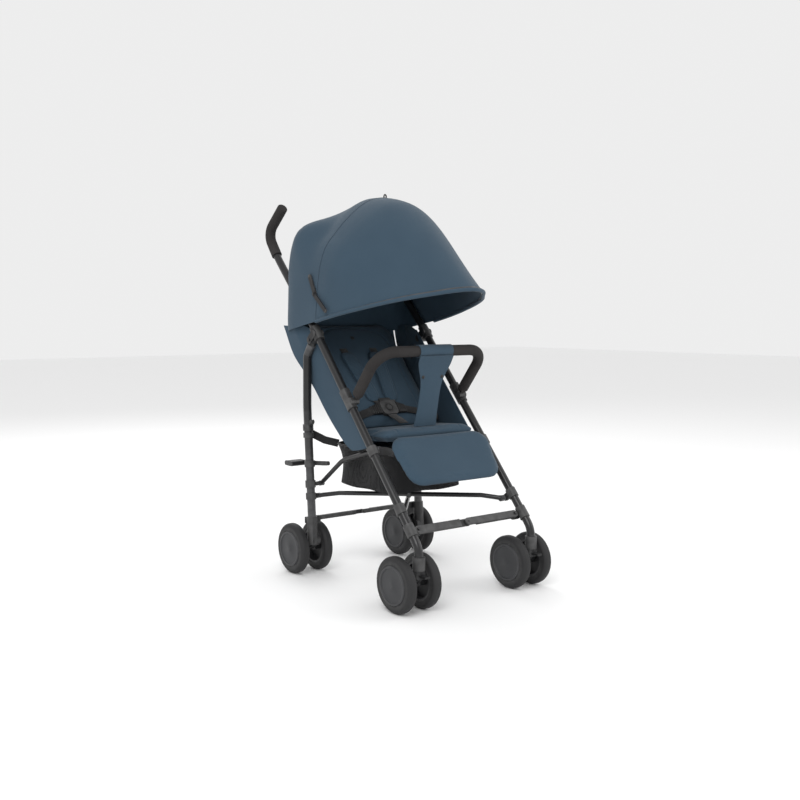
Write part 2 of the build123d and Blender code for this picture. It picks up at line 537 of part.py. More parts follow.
# Folding stay outside the hood on each side
STAY_TOP = (172.0, 850.0)
STAY_MIDDLE = (147.0, 802.0)
STAY_FOOT = (90.0, 756.0)
stay_in = -HOOD_X - GAP
stay = link_plate(STAY_TOP, STAY_MIDDLE, 7.0, stay_in, stay_in - 3.0)
stay += link_plate(STAY_MIDDLE, STAY_FOOT, 6.0, stay_in - 3.0, stay_in - 6.0)
nodes["hood_stay"] = stay + cross_pin(STAY_MIDDLE, stay_in - 1.0, stay_in - 8.0, 4.0)

# Sleeve over the middle of the bumper bar, with the strap that buttons to the seat
COVER_HALF = 48.0
STRAP_HALF = 24.0
STRAP_FOOT = (-66.0, 441.0)
cover_bore = BUMPER_R + 0.4
cover = rod((-COVER_HALF, *BUMPER_BEND), (COVER_HALF, *BUMPER_BEND), cover_bore + 3.0, cover_bore)
strap_way = unit(BUMPER_BEND, STRAP_FOOT)
strap_side = (-strap_way[1], strap_way[0])
strap_top = add(BUMPER_BEND, cover_bore + 1.5, strap_way)
strap = [add(strap_top, -1.5, strap_side), add(STRAP_FOOT, -1.5, strap_side),
         add(STRAP_FOOT, 1.5, strap_side), add(strap_top, 1.5, strap_side)]
nodes["bumper_cover"] = cover + side_plate(strap, -STRAP_HALF, STRAP_HALF)

# ---- Basket ------------------------------------------------------------------------------------------------
BASKET = [(186.0, 385.0), (176.0, 268.0), (-84.0, 268.0), (-100.0, 385.0)]
BASKET_IN = [(186.0 - BASKET_WALL, 400.0), (176.0 - BASKET_WALL, 268.0 + BASKET_WALL),
             (-84.0 + BASKET_WALL, 268.0 + BASKET_WALL), (-100.0 + BASKET_WALL, 400.0)]
basket = side_plate(BASKET, -BASKET_HALF_W, BASKET_HALF_W)
basket -= side_plate(BASKET_IN, BASKET_WALL - BASKET_HALF_W, BASKET_HALF_W - BASKET_WALL)
collar = leg_point(402.0)
ear_out = TUBE_X - COLLAR_R - 0.3
front_ear_out = TUBE_X - TUBE_R - 3.0 - 0.3
tube_at_rim = on_tube(381.0)
for side in (-1, 1):
    rear_ear = [(178.0, 385.0), (178.0, 379.0), (collar[0] - 8, 398.0), (collar[0] + 8, 398.0),
                (collar[0] + 8, 404.0), (collar[0] - 12, 404.0)]
    basket += side_plate(rear_ear, side * (BASKET_HALF_W - BASKET_WALL), side * ear_out)
    front_ear = [(-98.0, 385.0), (-98.0, 379.0), (tube_at_rim[0] - 4, 377.0),
                 (tube_at_rim[0] - 4, 385.0)]
    basket += side_plate(front_ear, side * (BASKET_HALF_W - BASKET_WALL), side * front_ear_out)
nodes["basket"] = basket

BODY_SIDES = ("main_tube handle_grip top_bracket bumper_socket front_brackets rear_leg"
              " leg_fittings rear_wheel_carrier front_fork front_outer_tyre front_outer_rim front_inner_tyre"
              " front_inner_rim rear_outer_tyre rear_outer_rim rear_inner_tyre rear_inner_rim side_link"
              " bumper_bar side_panel hood_stay").split()

parts = {}
for name, solid in nodes.items():
    if name in BODY_SIDES:
        parts[f"{name}_left"] = solid
        parts[f"{name}_right"] = other_side(solid)
    else:
        parts[name] = solid

# The origin is on the floor under the middle of the stroller's box
box_middle_y = (FRONT_AXLE_Y - WHEEL_R + nodes["handle_grip"].bounding_box().max.Y) / 2
for name, solid in parts.items():
    export_step(Pos(0, -box_middle_y, 0) * solid, f"parts/{name}.step")
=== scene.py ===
import bpy, math
from mathutils import Vector, Matrix


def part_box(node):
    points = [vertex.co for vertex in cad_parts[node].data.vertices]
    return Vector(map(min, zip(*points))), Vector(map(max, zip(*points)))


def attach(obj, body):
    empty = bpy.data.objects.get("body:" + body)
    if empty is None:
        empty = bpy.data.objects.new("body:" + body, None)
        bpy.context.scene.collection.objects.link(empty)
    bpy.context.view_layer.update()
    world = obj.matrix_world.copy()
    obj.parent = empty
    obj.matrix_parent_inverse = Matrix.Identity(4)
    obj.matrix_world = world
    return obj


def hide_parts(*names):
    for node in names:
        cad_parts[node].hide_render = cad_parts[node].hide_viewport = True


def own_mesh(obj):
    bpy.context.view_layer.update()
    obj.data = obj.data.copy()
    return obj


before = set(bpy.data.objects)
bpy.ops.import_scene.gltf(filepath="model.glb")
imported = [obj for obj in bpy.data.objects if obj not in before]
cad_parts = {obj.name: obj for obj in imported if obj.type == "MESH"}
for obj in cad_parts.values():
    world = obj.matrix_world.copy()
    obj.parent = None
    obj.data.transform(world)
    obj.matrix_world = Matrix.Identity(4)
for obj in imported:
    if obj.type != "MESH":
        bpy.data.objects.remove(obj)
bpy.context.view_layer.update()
bpy.ops.object.select_all(action="DESELECT")

# ---- Camera, floor and light ---------------------------------------------------------------
# A pale studio sweep with large soft lights, and a 45 mm lens a little above the seat.
tyre_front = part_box("front_outer_tyre_left")
tyre_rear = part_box("rear_outer_tyre_left")
MIDDLE_Y = (tyre_front[0][1] + tyre_front[1][1] + tyre_rear[0][1] + tyre_rear[1][1]) / 4


def spot(x, y, z):
    """A point from millimetres, with y from midway between the axles."""
    return Vector((x / 1000, y / 1000 + MIDDLE_Y, z / 1000))


camera = bpy.data.objects.new("camera", bpy.data.cameras.new("camera"))
bpy.context.collection.objects.link(camera)
camera.location = spot(-1705.48, -2177.34, 742.48)
camera.rotation_euler = (spot(0, 41.7, 504.5) - camera.location).to_track_quat("-Z", "Y").to_euler()
camera.data.lens = 44.607
camera.data.sensor_width = 36
camera.data.clip_end = 60
bpy.context.scene.camera = camera

bpy.ops.mesh.primitive_plane_add(size=30, location=(0, 0, 0))
floor = bpy.context.object
floor.name = "studio_floor"
floor_paint = bpy.data.materials.new("floor_paint")
floor_paint.use_nodes = True
floor_shader = floor_paint.node_tree.nodes["Principled BSDF"]
floor_shader.inputs["Base Color"].default_value = (0.93, 0.93, 0.93, 1)
floor_shader.inputs["Roughness"].default_value = 0.75
floor.data.materials.append(floor_paint)

studio = bpy.data.worlds.new("studio")
bpy.context.scene.world = studio
studio.use_nodes = True
studio.node_tree.nodes["Background"].inputs["Color"].default_value = (1, 1, 1, 1)
studio.node_tree.nodes["Background"].inputs["Strength"].default_value = 0.85
for light_name, place, size, watts in (("key_light", (-2.6, -2.4, 3.2), 2.2, 75),
                                       ("fill_light", (2.8, -2.2, 2.2), 2.6, 32),
                                       ("rim_light", (0.8, 3.0, 3.0), 2.0, 40)):
    lamp = bpy.data.lights.new(light_name, "AREA")
    lamp.size = size
    lamp.energy = watts
    light = bpy.data.objects.new(light_name, lamp)
    light.location = place
    light.rotation_euler = (Vector((0, 0, 0.5)) - Vector(place)).to_track_quat("-Z", "Y").to_euler()
    bpy.context.collection.objects.link(light)
bpy.context.scene.view_settings.view_transform = "Standard"


# ---- Frame tubes --------------------------------------------------------------------------
# Round steel tube, bent cold and coated in satin black powder, which wears to grey on the bends.
def new_group(name, inputs, outputs):
    """An empty shader node group with named sockets."""
    group = bpy.data.node_groups.new(name, "ShaderNodeTree")
    for label, kind, value in inputs:
        socket = group.interface.new_socket(label, in_out="INPUT", socket_type=kind)
        socket.default_value = value
    for label, kind in outputs:
        group.interface.new_socket(label, in_out="OUTPUT", socket_type=kind)
    return group, group.nodes.new("NodeGroupInput"), group.nodes.new("NodeGroupOutput")


def grain_group():
    """Fine moulded or sprayed grain: a height, and a slow change of tone."""
    group, given, put = new_group("surface_grain",
                                  [("Scale", "NodeSocketFloat", 900.0),
                                   ("Patch Scale", "NodeSocketFloat", 14.0)],
                                  [("Height", "NodeSocketFloat"), ("Patch", "NodeSocketFloat")])
    where = group.nodes.new("ShaderNodeTexCoord")
    fine = group.nodes.new("ShaderNodeTexNoise")
    fine.inputs["Detail"].default_value = 3
    patch = group.nodes.new("ShaderNodeTexNoise")
    patch.inputs["Detail"].default_value = 4
    for noise, size in ((fine, "Scale"), (patch, "Patch Scale")):
        group.links.new(where.outputs["Object"], noise.inputs["Vector"])
        group.links.new(given.outputs[size], noise.inputs["Scale"])
    group.links.new(fine.outputs["Fac"], put.inputs["Height"])
    group.links.new(patch.outputs["Fac"], put.inputs["Patch"])
    return group


def wear_group():
    """Mask of the rubbed edges, broken up so that it isn't even."""
    group, given, put = new_group("edge_wear",
                                  [("Low", "NodeSocketFloat", 0.52), ("High", "NodeSocketFloat", 0.62),
                                   ("Scale", "NodeSocketFloat", 55.0)],
                                  [("Mask", "NodeSocketFloat")])
    shape = group.nodes.new("ShaderNodeNewGeometry")
    band = group.nodes.new("ShaderNodeMapRange")
    where = group.nodes.new("ShaderNodeTexCoord")
    noise = group.nodes.new("ShaderNodeTexNoise")
    both = group.nodes.new("ShaderNodeMath")
    both.operation = "MULTIPLY"
    group.links.new(shape.outputs["Pointiness"], band.inputs["Value"])
    group.links.new(given.outputs["Low"], band.inputs["From Min"])
    group.links.new(given.outputs["High"], band.inputs["From Max"])
    group.links.new(where.outputs["Object"], noise.inputs["Vector"])
    group.links.new(given.outputs["Scale"], noise.inputs["Scale"])
    group.links.new(band.outputs["Result"], both.inputs[0])
    group.links.new(noise.outputs["Fac"], both.inputs[1])
    group.links.new(both.outputs["Value"], put.inputs["Mask"])
    return group


grain = grain_group()
wear = wear_group()


def hard_finish(name, dark, light, worn, rough, grain_size, bump, coat=0.0, metal=0.0, shine=0.3):
    """Painted, moulded or rubber surface: two close tones, grain in the bump and rubbed edges."""
    material = bpy.data.materials.new(name)
    material.use_nodes = True
    tree = material.node_tree
    shader = tree.nodes["Principled BSDF"]
    texture = tree.nodes.new("ShaderNodeGroup")
    texture.node_tree = grain
    texture.inputs["Scale"].default_value = grain_size
    edges = tree.nodes.new("ShaderNodeGroup")
    edges.node_tree = wear
    tone = tree.nodes.new("ShaderNodeMix")
    tone.data_type = "RGBA"
    tone.inputs["A"].default_value = (*dark, 1)
    tone.inputs["B"].default_value = (*light, 1)
    rub = tree.nodes.new("ShaderNodeMix")
    rub.data_type = "RGBA"
    rub.inputs["B"].default_value = (*worn, 1)
    gloss = tree.nodes.new("ShaderNodeMapRange")
    gloss.inputs["To Min"].default_value = rough - 0.06
    gloss.inputs["To Max"].default_value = rough + 0.08
    relief = tree.nodes.new("ShaderNodeBump")
    relief.inputs["Strength"].default_value = bump
    relief.inputs["Distance"].default_value = 0.0004
    tree.links.new(texture.outputs["Patch"], tone.inputs["Factor"])
    tree.links.new(tone.outputs["Result"], rub.inputs["A"])
    tree.links.new(edges.outputs["Mask"], rub.inputs["Factor"])
    tree.links.new(rub.outputs["Result"], shader.inputs["Base Color"])
    tree.links.new(texture.outputs["Patch"], gloss.inputs["Value"])
    tree.links.new(gloss.outputs["Result"], shader.inputs["Roughness"])
    tree.links.new(texture.outputs["Height"], relief.inputs["Height"])
    tree.links.new(relief.outputs["Normal"], shader.inputs["Normal"])
    shader.inputs["Coat Weight"].default_value = coat
    shader.inputs["Specular IOR Level"].default_value = shine
    shader.inputs["Coat Roughness"].default_value = 0.18
    shader.inputs["Metallic"].default_value = metal
    return material


frame_paint = hard_finish("satin_black_paint", (0.010, 0.010, 0.011), (0.017, 0.017, 0.018),
                          (0.16, 0.16, 0.165), 0.3, 1500, 0.06, coat=0.25)
moulded_black = hard_finish("moulded_black", (0.012, 0.012, 0.013), (0.02, 0.02, 0.021),
                            (0.1, 0.1, 0.1), 0.46, 1100, 0.16)


def dress(node, material):
    """Gives a carried-over part its material in every slot."""
    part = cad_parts[node]
    if not part.data.materials:
        part.data.materials.append(material)
    for i in range(len(part.data.materials)):
        part.data.materials[i] = material


for side in ("left", "right"):
    for tube in ("main_tube", "rear_leg", "cross_bar", "side_link"):
        dress(f"{tube}_{side}", frame_paint)
    for moulding in ("top_bracket", "bumper_socket", "front_brackets", "leg_fittings", "rear_wheel_carrier",
                     "front_fork", "brake_bar", "footrest", "hood_stay"):
        dress(f"{moulding}_{side}", moulded_black)
for moulding in ("fold_pedal", "buckle", "buckle_button"):
    dress(moulding, moulded_black)

# ---- Foam grips and bumper ------------------------------------------------------------------
# Closed-cell foam pulled over the tube: dull, finely pitted, a warm black.
grip_foam = hard_finish("grip_foam", (0.016, 0.0145, 0.0145), (0.026, 0.0235, 0.023),
                        (0.045, 0.041, 0.04), 0.82, 700, 0.35)
for side in ("left", "right"):
    dress(f"handle_grip_{side}", grip_foam)
    dress(f"bumper_bar_{side}", grip_foam)

# ---- Wheels -----------------------------------------------------------------------------------
# Foamed tyre on a moulded rim, with a flat charcoal cap whose edge stands up in a thin ring.
tyre_rubber = hard_finish("tyre_rubber", (0.016, 0.016, 0.017), (0.027, 0.027, 0.028),
                          (0.075, 0.075, 0.075), 0.62, 420, 0.22)
rim_plastic = hard_finish("rim_plastic", (0.03, 0.0305, 0.033), (0.041, 0.042, 0.045),
                          (0.11, 0.11, 0.112), 0.44, 1300, 0.14)
CAP_PROFILE = ((0.0, 3.4), (8.0, 3.4), (9.5, 2.6), (40.0, 2.6), (43.0, 2.8), (44.5, 4.6), (47.0, 5.0),
               (49.5, 4.0), (51.0, 1.2), (51.0, 0.2), (0.0, 0.2))  # radius and height
CAP_STEPS = 72


def edit_all(piece):
    """Edit mode on one piece with everything in it selected."""
    bpy.ops.object.select_all(action="DESELECT")
    bpy.context.view_layer.objects.active = piece
    piece.select_set(True)
    bpy.ops.object.mode_set(mode="EDIT")
    bpy.ops.mesh.select_all(action="SELECT")


def tidy_mesh(piece, merge=0.00005, angle=38):
    """Merges doubles, turns the faces outwards and smooths all but the sharp edges."""
    edit_all(piece)
    bpy.ops.mesh.remove_doubles(threshold=merge)
    bpy.ops.mesh.normals_make_consistent(inside=False)
    bpy.ops.object.mode_set(mode="OBJECT")
    bpy.ops.object.shade_smooth_by_angle(angle=math.radians(angle))
    piece.select_set(False)


def new_piece(name, corners, faces, material, edges=()):
    """A mesh object from points and faces, or from the edges of a section."""
    mesh = bpy.data.meshes.new(name)
    mesh.from_pydata([tuple(c) for c in corners], edges, faces)
    piece = bpy.data.objects.new(name, mesh)
    bpy.context.collection.objects.link(piece)
    mesh.materials.append(material)
    return piece


def apply_all(piece):
    """Applies each modifier in turn."""
    bpy.ops.object.select_all(action="DESELECT")
    bpy.context.view_layer.objects.active = piece
    piece.select_set(True)
    for modifier in list(piece.modifiers):
        bpy.ops.object.modifier_apply(modifier=modifier.name)
    piece.select_set(False)


def wheel_cap(name, centre, outward):
    """Cap on the outer face of one wheel, spun from its section."""
    section = [centre + Vector((outward * height, 0, radius)) / 1000 for radius, height in CAP_PROFILE]
    cap = new_piece(name, section, [], rim_plastic, [(k, k + 1) for k in range(len(section) - 1)])
    edit_all(cap)
    bpy.ops.mesh.spin(steps=CAP_STEPS, angle=math.tau, center=centre, axis=(1, 0, 0))
    bpy.ops.object.mode_set(mode="OBJECT")
    tidy_mesh(cap, angle=30)
    return cap


for side, sign in (("left", -1), ("right", 1)):
    for end in ("front", "rear"):
        for place, way in (("outer", 1), ("inner", -1)):
            tyre, rim = f"{end}_{place}_tyre_{side}", f"{end}_{place}_rim_{side}"
            dress(tyre, tyre_rubber)
            dress(rim, rim_plastic)
            low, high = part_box(rim)
            outward = sign * way
            face_x = high[0] if outward > 0 else low[0]
            cap = wheel_cap(f"wheel_cap_{end}_{place}_{side}",
                            Vector((face_x, (low[1] + high[1]) / 2, (low[2] + high[2]) / 2)), outward)
            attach(cap, f"wheel_{end}_{place}_{side}")


def weave_group():
    """Over-and-under of a plain weave, with a slow change of tone."""
    group, given, put = new_group("plain_weave", [("Threads", "NodeSocketFloat", 1500.0)],
                                  [("Height", "NodeSocketFloat"), ("Patch", "NodeSocketFloat")])
    where = group.nodes.new("ShaderNodeTexCoord")
    turn = group.nodes.new("ShaderNodeMapping")
    turn.inputs["Rotation"].default_value = (0.7, 0.0, 0.0)
    group.links.new(where.outputs["Object"], turn.inputs["Vector"])
    sets = []
    for direction in ("X", "Z"):
        thread = group.nodes.new("ShaderNodeTexWave")
        thread.bands_direction = direction
        thread.inputs["Distortion"].default_value = 0.6
        thread.inputs["Detail"].default_value = 1
        group.links.new(turn.outputs["Vector"], thread.inputs["Vector"])
        group.links.new(given.outputs["Threads"], thread.inputs["Scale"])
        sets.append(thread)
    cross = group.nodes.new("ShaderNodeMath")
    cross.operation = "ADD"
    for i in (0, 1):
        group.links.new(sets[i].outputs["Fac"], cross.inputs[i])
    patch = group.nodes.new("ShaderNodeTexNoise")
    patch.inputs["Scale"].default_value = 9
    patch.inputs["Detail"].default_value = 5
    group.links.new(where.outputs["Object"], patch.inputs["Vector"])
    group.links.new(cross.outputs["Value"], put.inputs["Height"])
    group.links.new(patch.outputs["Fac"], put.inputs["Patch"])
    return group


weave = weave_group()


def cloth_finish(name, dark, light, rough=0.86, threads=420.0, sheen=0.25, bump=0.25):
    """Woven cloth: two close tones, weave in the bump and a soft sheen."""
    material = bpy.data.materials.new(name)
    material.use_nodes = True
    tree = material.node_tree
    shader = tree.nodes["Principled BSDF"]
    pattern = tree.nodes.new("ShaderNodeGroup")
    pattern.node_tree = weave
    pattern.inputs["Threads"].default_value = threads
    tone = tree.nodes.new("ShaderNodeMix")
    tone.data_type = "RGBA"
    tone.inputs["A"].default_value = (*dark, 1)
    tone.inputs["B"].default_value = (*light, 1)
    relief = tree.nodes.new("ShaderNodeBump")
    relief.inputs["Strength"].default_value = bump
    relief.inputs["Distance"].default_value = 0.0003
    tree.links.new(pattern.outputs["Patch"], tone.inputs["Factor"])
    tree.links.new(tone.outputs["Result"], shader.inputs["Base Color"])
    tree.links.new(pattern.outputs["Height"], relief.inputs["Height"])
    tree.links.new(relief.outputs["Normal"], shader.inputs["Normal"])
    shader.inputs["Roughness"].default_value = rough
    shader.inputs["Sheen Weight"].default_value = sheen
    shader.inputs["Sheen Roughness"].default_value = 0.45
    shader.inputs["Specular IOR Level"].default_value = 0.25
    return material


seat_cloth = cloth_finish("slate_blue_cloth", (0.029, 0.055, 0.083), (0.040, 0.071, 0.102), sheen=0.12)
piping_cloth = cloth_finish("dark_blue_thread", (0.012, 0.026, 0.042), (0.018, 0.034, 0.052))
black_webbing = cloth_finish("black_webbing", (0.014, 0.014, 0.015), (0.024, 0.024, 0.025), threads=260.0,
                             bump=0.5)


def cloth_piece(name, across, along, place, material, thick, inward=False):
    """A sheet shaped from a grid: place(u, v) gives each point for u and v from 0 to 1."""
    bpy.ops.mesh.primitive_grid_add(x_subdivisions=across, y_subdivisions=along, size=1)
    piece = bpy.context.object
    piece.name = name
    for vertex in piece.data.vertices:
        vertex.co = place(vertex.co.x + 0.5, vertex.co.y + 0.5)
    piece.location = (0, 0, 0)
    piece.data.materials.append(material)
    bpy.ops.object.shade_smooth()
    area = sum(f.area for f in piece.data.polygons)
    wall = piece.modifiers.new("wall", "SOLIDIFY")
    wall.thickness = thick / 1000
    wall.offset = 1 if inward else -1
    apply_all(piece)
    piece["cut_area"] = area
    return piece


def tube_along(name, points, radius, material, sides=10, closed=False, flat=1.0):
    """Piping, cord or wire swept along points, as a mesh."""
    curve = bpy.data.curves.new(name, "CURVE")
    curve.dimensions = "3D"
    curve.bevel_depth = radius / 1000
    curve.bevel_resolution = max(1, sides // 4)
    curve.use_fill_caps = not closed
    spline = curve.splines.new("POLY")
    spline.points.add(len(points) - 1)
    for target, point in zip(spline.points, points):
        target.co = (*point, 1)
    spline.use_cyclic_u = closed
    made = bpy.data.objects.new(name + "_line", curve)
    bpy.context.collection.objects.link(made)
    bpy.context.view_layer.update()
    mesh = bpy.data.meshes.new_from_object(made)
    bpy.data.objects.remove(made)
    piece = bpy.data.objects.new(name, mesh)
    bpy.context.collection.objects.link(piece)
    mesh.materials.clear()
    mesh.materials.append(material)
    for face in mesh.polygons:
        face.use_smooth = True
    return piece


def fold_with_frame(piece, body):
    """Rides on a body, with a mesh of its own."""
    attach(piece, body)
    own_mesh(piece)
    return piece


# ---- Hood -------------------------------------------------------------------------------------
# Cloth stretched over three bows that meet at a pivot on each side. The front part flares to a
# rolled hem with a wire in it, and a stiffer rear part runs down behind the seat.
HOOD_HINGE = (148.0, 727.0)
HOOD_HALF_W = 213.0
HEM_ANGLE = 11.2           # each bow, in degrees above straight ahead
BOW_ANGLE = 71.0           # main bow, where the dome starts
SPLIT_ANGLE = 50.6
HEM_REACH = 434.0          # from the pivots to the middle of each bow
DOME_REACH = 351.0
BOW_SHAPE = ((0, 1.0), (10, 1.013), (17, 1.04), (25, 1.07), (33, 1.075), (42, 1.035), (52, 1.01), (62, 1.0),
             (74, 1.0), (90, 1.0))
HEM_SHAPE = ((0, 1.0), (14, 0.98), (26, 0.955), (38, 0.945), (50, 0.94), (62, 0.93), (76, 0.96), (90, 0.98))
REAR_REACH = ((90, 351), (95.4, 343), (111.4, 319), (125.7, 284), (136.9, 249), (150, 213), (165, 194),
              (180, 190))


def between(table, value):
    """Smooth reading of a table of (key, value) pairs."""
    if value <= table[0][0]:
        return table[0][1]
    for k in range(len(table) - 1):
        (a, p), (b, q) = table[k], table[k + 1]
        if value <= b:
            before = table[k - 1] if k else (a - (b - a), p)
            after = table[k + 2] if k + 2 < len(table) else (b + (b - a), q)
            t = (value - a) / (b - a)
            m0 = (q - before[1]) / (b - before[0]) * (b - a)
            m1 = (after[1] - p) / (after[0] - a) * (b - a)
            return ((2 * t ** 3 - 3 * t ** 2 + 1) * p + (t ** 3 - 2 * t ** 2 + t) * m0
                    + (3 * t ** 2 - 2 * t ** 3) * q + (t ** 3 - t ** 2) * m1)
    return table[-1][1]


def squarish(turn, power):
    """Distance to a superellipse of half-axes 1 in a direction, in degrees."""
    c, s = abs(math.cos(math.radians(turn))), abs(math.sin(math.radians(turn)))
    return (c ** power + s ** power) ** (-1 / power)


def hood_point(angle, across):
    """Point of the hood at a bow angle above straight ahead, and from 0 at the left pivot to 1 at
    the right one."""
    turn = 180 * across
    side = -1 if turn < 90 else 1
    turn = min(turn, 180 - turn)

    def rib(level, reach, shape):
        c, s = math.cos(math.radians(turn)), math.sin(math.radians(turn))
        out = reach * shape * s
        y = HOOD_HINGE[0] - out * math.cos(math.radians(level))
        z = HOOD_HINGE[1] + out * math.sin(math.radians(level))
        return Vector((side * HOOD_HALF_W * min(shape * c, 1.0), y, z))

    bow = between(BOW_SHAPE, turn)
    if angle < BOW_ANGLE:
        # the visor runs nearly straight from the hem to the main bow, and leaves the dome softly
        hem = rib(HEM_ANGLE, HEM_REACH, between(HEM_SHAPE, turn))
        top = rib(BOW_ANGLE, DOME_REACH, bow)
        ahead = (rib(BOW_ANGLE - 1, DOME_REACH, bow) - top)
        ahead = ahead.normalized() * 84 * min(1.0, ahead.length / 5) if ahead.length else ahead
        knee, low = top + ahead, hem.lerp(top, 0.36)
        t = (angle - HEM_ANGLE) / (BOW_ANGLE - HEM_ANGLE)
        w = 1 - t
        point = hem * w ** 3 + low * (3 * w * w * t) + knee * (3 * w * t * t) + top * t ** 3
    elif angle <= 90:
        point = rib(angle, DOME_REACH, bow)
    else:
        t = min(1.0, (angle - 90) / 30)
        t = t * t * (3 - 2 * t)
        shape = bow * (1 - t) + squarish(turn, 8) * t
        point = rib(angle, between(REAR_REACH, angle), shape)
    return spot(point.x, point.y, point.z)


for name, low, high, steps, body, node, wide in (
        ("canopy_front", HEM_ANGLE, SPLIT_ANGLE + 1.5, 30, "hood_front", "hood_front", 1.05),
        ("canopy_middle", SPLIT_ANGLE, 90.0, 26, "hood_middle", "hood_middle", 0.95),
        ("canopy_rear", 88.5, 190.0, 52, "frame_left", "hood_rear", 0.9)):
    part = cloth_piece(name, 73, steps, lambda u, v: hood_point(low + (high - low) * v, u), seat_cloth, 1.4)
    tidy_mesh(part)
    fold_with_frame(part, body)
    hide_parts(node)
hem_line = [hood_point(HEM_ANGLE, k / 96) for k in range(97)]
hem = tube_along("canopy_hem", hem_line, 5.2, seat_cloth, 16)
fold_with_frame(hem, "hood_front")
seam_line = [hood_point(84.0, k / 96) for k in range(97)]
seam = tube_along("canopy_seam", seam_line, 0.8, piping_cloth, 8)
fold_with_frame(seam, "hood_middle")

# ---- Padded seat, back and calf rest ----------------------------------------------------------
# Thin foam between two layers of the cloth, sewn round the edge and along channels. The back is
# laced to the side tubes, and the calf rest hangs from the seat's front edge.
UP_BACK = Vector((0, 0.6561, 0.7547))
SEAT_HINGE = (62.0, 425.0)
PRESSURE = 4.0
PUFF_FRAMES = 20


def plane_of(origin, along, face):
    """Matrix of a pad's own frame: x across, y along it and z out of its face."""
    y = Vector(along).normalized()
    z = Vector(face).normalized()
    x = y.cross(z)
    return Matrix.Translation(origin) @ Matrix((x, y, z)).transposed().to_4x4()


def pad(name, place, wide_low, wide_high, length, thick, corner, material, steps=44, power=3.0,
        dip=0.015):
    """Closed, crowned pad on a plane: its face, its back, and sides drawn in between the corners."""
    bpy.ops.mesh.primitive_grid_add(x_subdivisions=steps, y_subdivisions=steps, size=2)
    piece = bpy.context.object
    piece.name = name
    edit_all(piece)
    bpy.ops.mesh.duplicate()
    bpy.ops.transform.translate(value=(0, 0, -1))
    bpy.ops.object.mode_set(mode="OBJECT")
    for vertex in piece.data.vertices:
        a, b = vertex.co.x, vertex.co.y
        front = 1 if vertex.co.z > -0.5 else -1
        half = (wide_low + (wide_high - wide_low) * (b + 1) / 2) / 2
        # corners are rounded by pulling the ends of each side towards the middle
        reach = min(1.0, corner / half)
        over = max(0.0, (abs(a) - (1 - reach)) / reach)
        drop = (1 - math.sqrt(max(0.0, 1 - over * over))) * corner / length * 2
        y = b * (1 - drop) * (1 - dip * (1 - a * a))
        x = a * half * (1 - dip * (1 - b * b))
        swell = ((1 - abs(a) ** (2 * power)) * (1 - abs(b) ** (2 * power))) ** 0.5
        height = front * thick / 2 * swell * (1 if front > 0 else 0.8)
        vertex.co = place @ Vector((x / 1000, (y + 1) / 2 * length / 1000, (height - thick / 2) / 1000))
    piece.location = (0, 0, 0)
    piece.data.materials.append(material)
    tidy_mesh(piece, merge=0.0002, angle=60)
    return piece


def puffed(piece, cap, voxel=6.0):
    """Swells a pad by a short cloth simulation under pressure, with each point's move capped."""
    bpy.ops.object.select_all(action="DESELECT")
    bpy.context.view_layer.objects.active = piece
    piece.select_set(True)
    remesh = piece.modifiers.new("even", "REMESH")
    remesh.mode = "VOXEL"
    remesh.voxel_size = voxel / 1000
    bpy.ops.object.modifier_apply(modifier=remesh.name)
    start = [v.co.copy() for v in piece.data.vertices]
    cloth = piece.modifiers.new("filling", "CLOTH")
    cloth.settings.use_pressure = True
    cloth.settings.uniform_pressure_force = PRESSURE
    cloth.settings.effector_weights.gravity = 0
    cloth.settings.quality = 5
    cloth.collision_settings.use_collision = False
    cloth.point_cache.frame_start = 1
    cloth.point_cache.frame_end = PUFF_FRAMES
    scene = bpy.context.scene
    for step in range(1, PUFF_FRAMES + 1):
        scene.frame_set(step)
    settled = piece.evaluated_get(bpy.context.evaluated_depsgraph_get())
    ends = [v.co.copy() for v in settled.data.vertices]
    piece.modifiers.remove(cloth)
    for vertex, a, b in zip(piece.data.vertices, start, ends):
        move = b - a
        vertex.co = a + move * min(1.0, cap / 1000 / max(move.length, 1e-9))
    scene.frame_set(1)
    finer = piece.modifiers.new("finer", "SUBSURF")
    finer.levels = finer.render_levels = 1
    apply_all(piece)
    for face in piece.data.polygons:
        face.use_smooth = True
    return piece


def sewn(piece, place, lines, depth=2.2, width=3.2):
    """Presses stitched channels into a pad's face. Lines are chains of points on its plane, in mm."""
    back = place.inverted()
    face = (place.to_3x3() @ Vector((0, 0, 1))).normalized()
    for vertex in piece.data.vertices:
        spot_on = back @ vertex.co
        if spot_on.z * 1000 < -9:
            continue
        near = 99.0
        for line in lines:
            for (ax, ay), (bx, by) in zip(line, line[1:]):
                a, b = Vector((ax, ay)), Vector((bx, by))
                p = Vector((spot_on.x * 1000, spot_on.y * 1000))
                t = max(0.0, min(1.0, (p - a).dot(b - a) / max((b - a).length_squared, 1e-6)))
                near = min(near, (p - a - (b - a) * t).length)
        if near < 4 * width:
            vertex.co -= face * (depth / 1000 * math.exp(-(near / width) ** 2))
    piece.data.update()


back_face = (0, -0.7547, 0.6561)
back_place = plane_of(spot(0, *SEAT_HINGE) + UP_BACK * 0.004, UP_BACK, back_face)
back_pad = pad("back_cushion", back_place, 336, 336, 392, 20, 46, seat_cloth, steps=52, power=4)
puffed(back_pad, 3)
HEAD_SEAM = [(-128, 300), (-112, 338), (-70, 362), (0, 370), (70, 362), (112, 338), (128, 300)]
back_lines = [[(-118, 14), (-124, 300)], [(118, 14), (124, 300)], HEAD_SEAM]
sewn(back_pad, back_place, back_lines)
fold_with_frame(back_pad, "backrest")
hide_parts("backrest")

